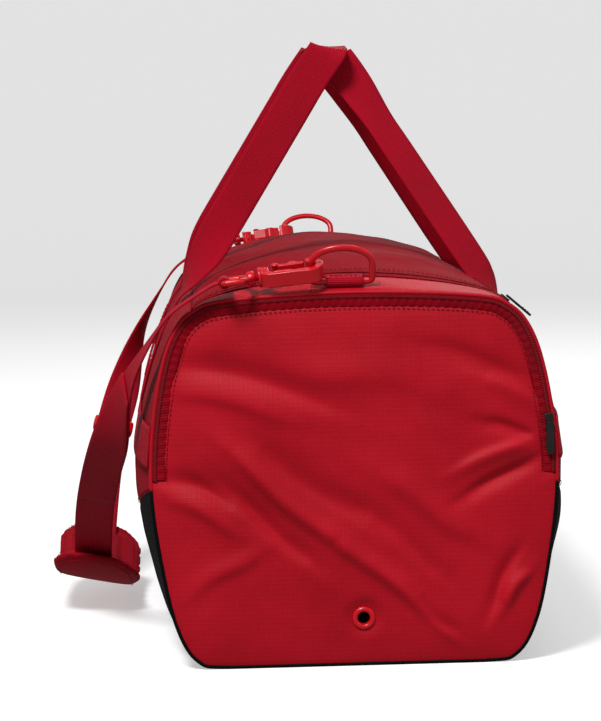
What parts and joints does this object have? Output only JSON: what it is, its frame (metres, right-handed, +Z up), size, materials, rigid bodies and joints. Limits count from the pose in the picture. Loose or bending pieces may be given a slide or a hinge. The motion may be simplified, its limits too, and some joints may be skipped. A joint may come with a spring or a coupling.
{
  "type": "hockey equipment bag",
  "caption": "Soft duffel for hockey kit: zipped lid and end pockets, black base, two webbing carry handles and a padded shoulder strap clipped to D-rings.",
  "frame": {"origin": "centre of the flat bottom, on the surface the bag stands on", "axes": "+Z up, +Y along the bag's length from the near end to the far end, +X to the right seen from the near end"},
  "size_m": [0.5044, 0.8616, 0.5783],
  "materials": {
    "coated_red_cloth": "smooth coated cloth with a fine ripstop and a soft sheen",
    "red_twill": "fine twill",
    "coarse_red_weave": "coarse plain weave",
    "black_cloth": "matt coated cloth",
    "black_board": "plain",
    "red_zip_tape": "fine ribbed tape",
    "red_webbing": "ribbed webbing with a soft sheen",
    "red_pad_cloth": "padded cloth",
    "moulded_red": "glossy moulded",
    "black_pull": "satin"
  },
  "bodies": {
    "bag_body": {"base_board": "black_board", "bottom_panel": "black_cloth", "far_end_lower_panel": "coated_red_cloth", "far_end_zip_outer_tape": "red_zip_tape", "far_pocket_divider": "black_cloth", "far_ring_tab": "red_webbing", "far_swivel_loop": "moulded_red", "far_top_gusset": "coated_red_cloth", "far_vent_eyelet": "moulded_red", "far_vent_washer": "black_board", "left_far_handle_anchor": "red_webbing", "left_lower_panel": "black_cloth", "left_near_handle_anchor": "red_webbing", "left_side_band": "red_webbing", "left_upper_panel": "red_twill", "lid_zip_outer_tape": "red_zip_tape", "near_end_lower_panel": "coated_red_cloth", "near_end_zip_outer_tape": "red_zip_tape", "near_pocket_divider": "black_cloth", "near_ring_tab": "red_webbing", "near_swivel_loop": "moulded_red", "near_top_gusset": "coated_red_cloth", "near_vent_eyelet": "moulded_red", "near_vent_washer": "black_board", "right_far_handle_anchor": "red_webbing", "right_lower_panel": "black_cloth", "right_near_handle_anchor": "red_webbing", "right_side_band": "red_webbing", "right_upper_panel": "red_twill"},
    "lid": {"lid_panel": "coarse_red_weave", "lid_zip_inner_tape": "red_zip_tape"},
    "left_handle": {"left_handle": "red_webbing"},
    "right_handle": {"right_handle": "red_webbing"},
    "near_flap": {"near_end_flap": "coated_red_cloth", "near_end_zip_inner_tape": "red_zip_tape"},
    "far_flap": {"far_end_flap": "coated_red_cloth", "far_end_zip_inner_tape": "red_zip_tape"},
    "near_ring": {"near_d_ring": "moulded_red"},
    "far_ring": {"far_d_ring": "moulded_red"},
    "near_hook": {"near_hook": "moulded_red"},
    "far_hook": {"far_hook": "moulded_red"},
    "near_gate": {"near_hook_gate": "moulded_red"},
    "far_gate": {"far_hook_gate": "moulded_red"},
    "strap": {"shoulder_strap": "red_webbing", "shoulder_pad": "red_pad_cloth", "pad_sleeve": "red_pad_cloth", "strap_adjuster": "moulded_red"},
    "lid_slider": {"lid_zip_slider": "black_pull"},
    "lid_pull": {"lid_zip_pull": "black_pull"},
    "near_slider": {"near_zip_slider": "black_pull"},
    "near_pull": {"near_zip_pull": "black_pull"},
    "far_slider": {"far_zip_slider": "black_pull"},
    "far_pull": {"far_zip_pull": "black_pull"}
  },
  "joints": [
    {"name": "lid_open", "type": "hinge", "parent": "bag_body", "child": "lid", "pos_m": [-0.14619, 0, 0.32986], "axis": [0, -1, 0], "range_deg": [0, 100]},
    {"name": "left_handle_fold", "type": "hinge", "parent": "bag_body", "child": "left_handle", "pos_m": [-0.16885, 0, 0.30718], "axis": [0, -1, 0], "range_deg": [0, 125]},
    {"name": "right_handle_fold", "type": "hinge", "parent": "bag_body", "child": "right_handle", "pos_m": [0.16885, 0, 0.30718], "axis": [0, 1, 0], "range_deg": [0, 160]},
    {"name": "near_flap_open", "type": "hinge", "parent": "bag_body", "child": "near_flap", "pos_m": [0, -0.4053, 0.175], "axis": [1, 0, 0], "range_deg": [0, 150]},
    {"name": "far_flap_open", "type": "hinge", "parent": "bag_body", "child": "far_flap", "pos_m": [0, 0.4053, 0.175], "axis": [-1, 0, 0], "range_deg": [0, 150]},
    {"name": "near_ring_tilt", "type": "hinge", "parent": "bag_body", "child": "near_ring", "pos_m": [-0.008, -0.398, 0.35318], "axis": [-1, 0, 0], "range_deg": [0, 8]},
    {"name": "far_ring_tilt", "type": "hinge", "parent": "bag_body", "child": "far_ring", "pos_m": [-0.008, 0.398, 0.35318], "axis": [1, 0, 0], "range_deg": [0, 8]},
    {"name": "near_hook_swivel", "type": "hinge", "parent": "bag_body", "child": "near_hook", "pos_m": [-0.0827, -0.40328, 0.35919], "axis": [0.9936, 0, 0.1132], "range_deg": [-8, 8]},
    {"name": "far_hook_swivel", "type": "hinge", "parent": "bag_body", "child": "far_hook", "pos_m": [-0.0827, 0.40328, 0.35919], "axis": [0.9936, 0, 0.1132], "range_deg": [-8, 8]},
    {"name": "near_gate_press", "type": "hinge", "parent": "near_hook", "child": "near_gate", "pos_m": [-0.06816, -0.39436, 0.36412], "axis": [0.1064, 0.342, -0.9337], "range_deg": [0, 18], "stiffness_Nm_per_rad": 0.05, "springref_deg": -8.59},
    {"name": "far_gate_press", "type": "hinge", "parent": "far_hook", "child": "far_gate", "pos_m": [-0.06816, 0.39436, 0.36412], "axis": [-0.1064, 0.342, 0.9337], "range_deg": [0, 18], "stiffness_Nm_per_rad": 0.05, "springref_deg": -8.59},
    {"name": "strap_lift", "type": "hinge", "parent": "bag_body", "child": "strap", "pos_m": [-0.11549, 0, 0.35546], "axis": [0, -1, 0], "range_deg": [-140, 0]},
    {"name": "lid_zip_slide", "type": "slide", "parent": "lid", "child": "lid_slider", "axis": [0, 1, 0], "range_m": [0, 0.175]},
    {"name": "lid_pull_swing", "type": "hinge", "parent": "lid_slider", "child": "lid_pull", "pos_m": [0.14944, -0.335, 0.33356], "axis": [0, -1, 0], "range_deg": [0, 120]},
    {"name": "near_zip_slide", "type": "slide", "parent": "near_flap", "child": "near_slider", "axis": [-0.1113, 0, 0.9938], "range_m": [-0.006, 0.03]},
    {"name": "near_pull_swing", "type": "hinge", "parent": "near_slider", "child": "near_pull", "pos_m": [0.17967, -0.4097, 0.22143], "axis": [-1, 0, 0], "range_deg": [0, 120]},
    {"name": "far_zip_slide", "type": "slide", "parent": "far_flap", "child": "far_slider", "axis": [-0.1113, 0, 0.9938], "range_m": [-0.006, 0.03]},
    {"name": "far_pull_swing", "type": "hinge", "parent": "far_slider", "child": "far_pull", "pos_m": [0.17967, 0.4097, 0.22143], "axis": [1, 0, 0], "range_deg": [0, 120]}
  ],
  "couplings": [
    {"joint": "left_handle_fold", "follows": "lid_open", "ratio": 1.25},
    {"joint": "right_handle_fold", "follows": "lid_open", "ratio": 1.6}
  ]
}
